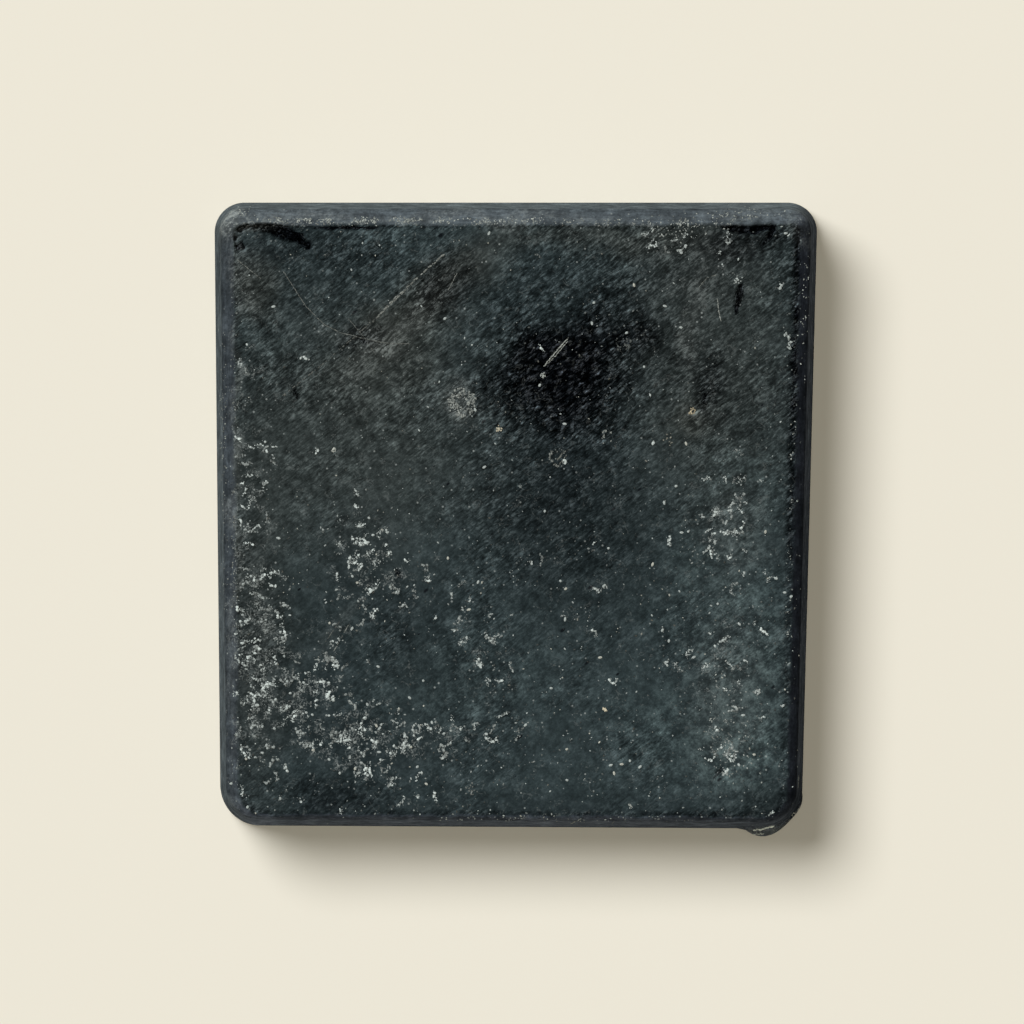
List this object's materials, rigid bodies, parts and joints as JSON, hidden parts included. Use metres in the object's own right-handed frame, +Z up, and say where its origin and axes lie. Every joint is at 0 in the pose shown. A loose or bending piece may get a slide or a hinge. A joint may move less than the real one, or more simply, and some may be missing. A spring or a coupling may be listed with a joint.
{
  "type": "compressed charcoal drawing block",
  "caption": "Flat square tablet of pressed charcoal with rounded corners, a bevelled drawing face, slightly flared walls, a flat base and a small lip of flash at one corner.",
  "frame": {"origin": "middle of the base of the bounding box, on the surface the block lies on", "axes": "+Z up through the drawing face; +Y from the near edge, with the corner flash, to the far, wider edge; +X to the right along the far edge"},
  "size_m": [0.048, 0.0504, 0.01],
  "materials": {
    "charcoal": "matte pressed charcoal with a grainy drawing face, smoother rim and pale crumbs of dust"
  },
  "bodies": {
    "root": {"charcoal_block": "charcoal"}
  },
  "joints": []
}
